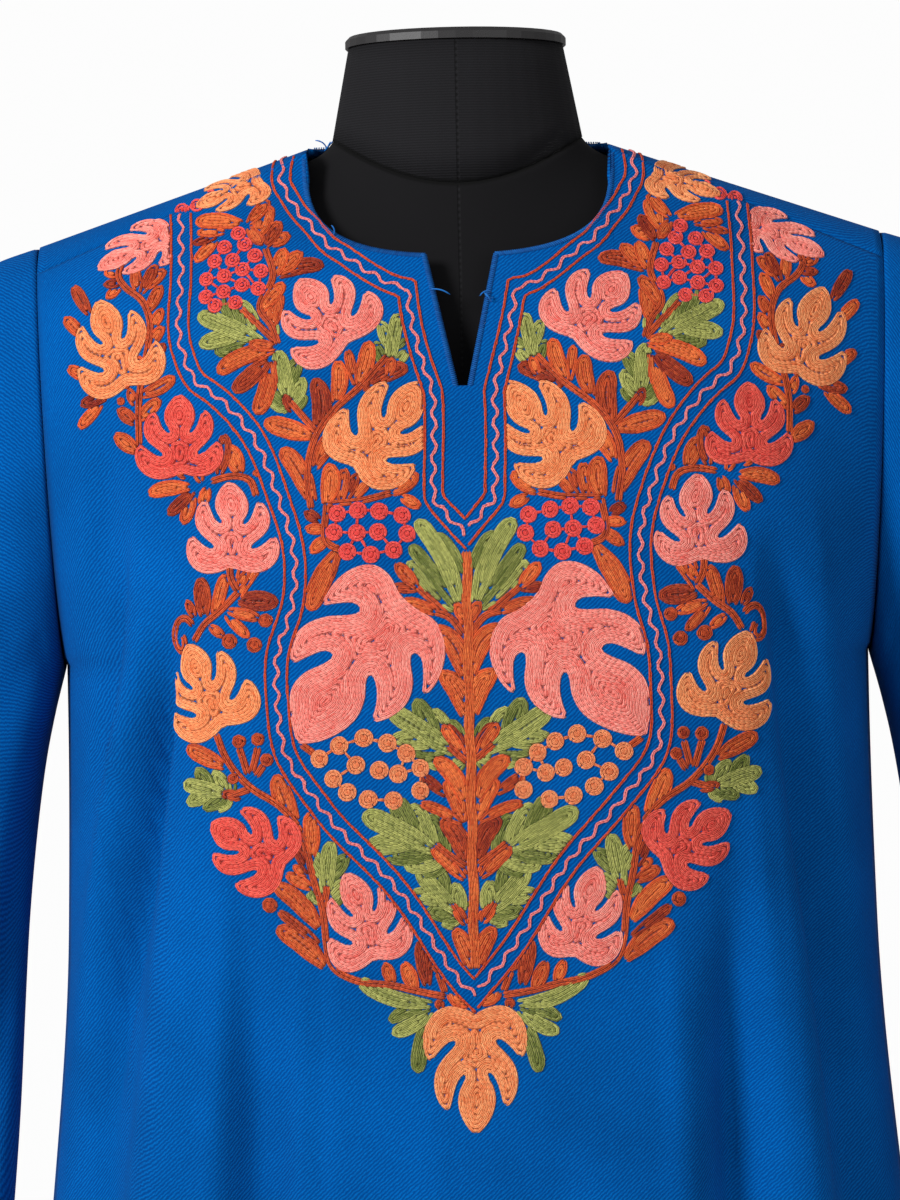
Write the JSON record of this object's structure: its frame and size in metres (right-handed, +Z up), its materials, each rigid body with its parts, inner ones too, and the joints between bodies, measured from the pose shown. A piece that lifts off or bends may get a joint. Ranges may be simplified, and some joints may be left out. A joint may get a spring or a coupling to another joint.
{
  "type": "pheran on a dress form",
  "caption": "Loose pull-over robe with a slit round neck and wide sleeves, embroidered over the chest, worn by a limbless dress form on a round foot.",
  "frame": {"origin": "middle of the foot's underside, on the floor", "axes": "+Z up, the robe's front faces -Y, its left sleeve is at +X"},
  "size_m": [0.7066, 0.35, 1.506],
  "materials": {
    "wool": "royal blue wool twill with a soft nap, matt",
    "form_cover": "black plain-woven cotton, matt",
    "form_cap": "black, satin",
    "stand_steel": "black powder coat, satin"
  },
  "bodies": {
    "root": {"front": "wool", "back": "wool", "sleeve_left": "wool", "sleeve_right": "wool", "form_torso": "form_cover", "form_neck": "form_cover", "form_neck_cap": "form_cap", "stand_pole": "stand_steel", "stand_foot": "stand_steel"}
  },
  "joints": []
}
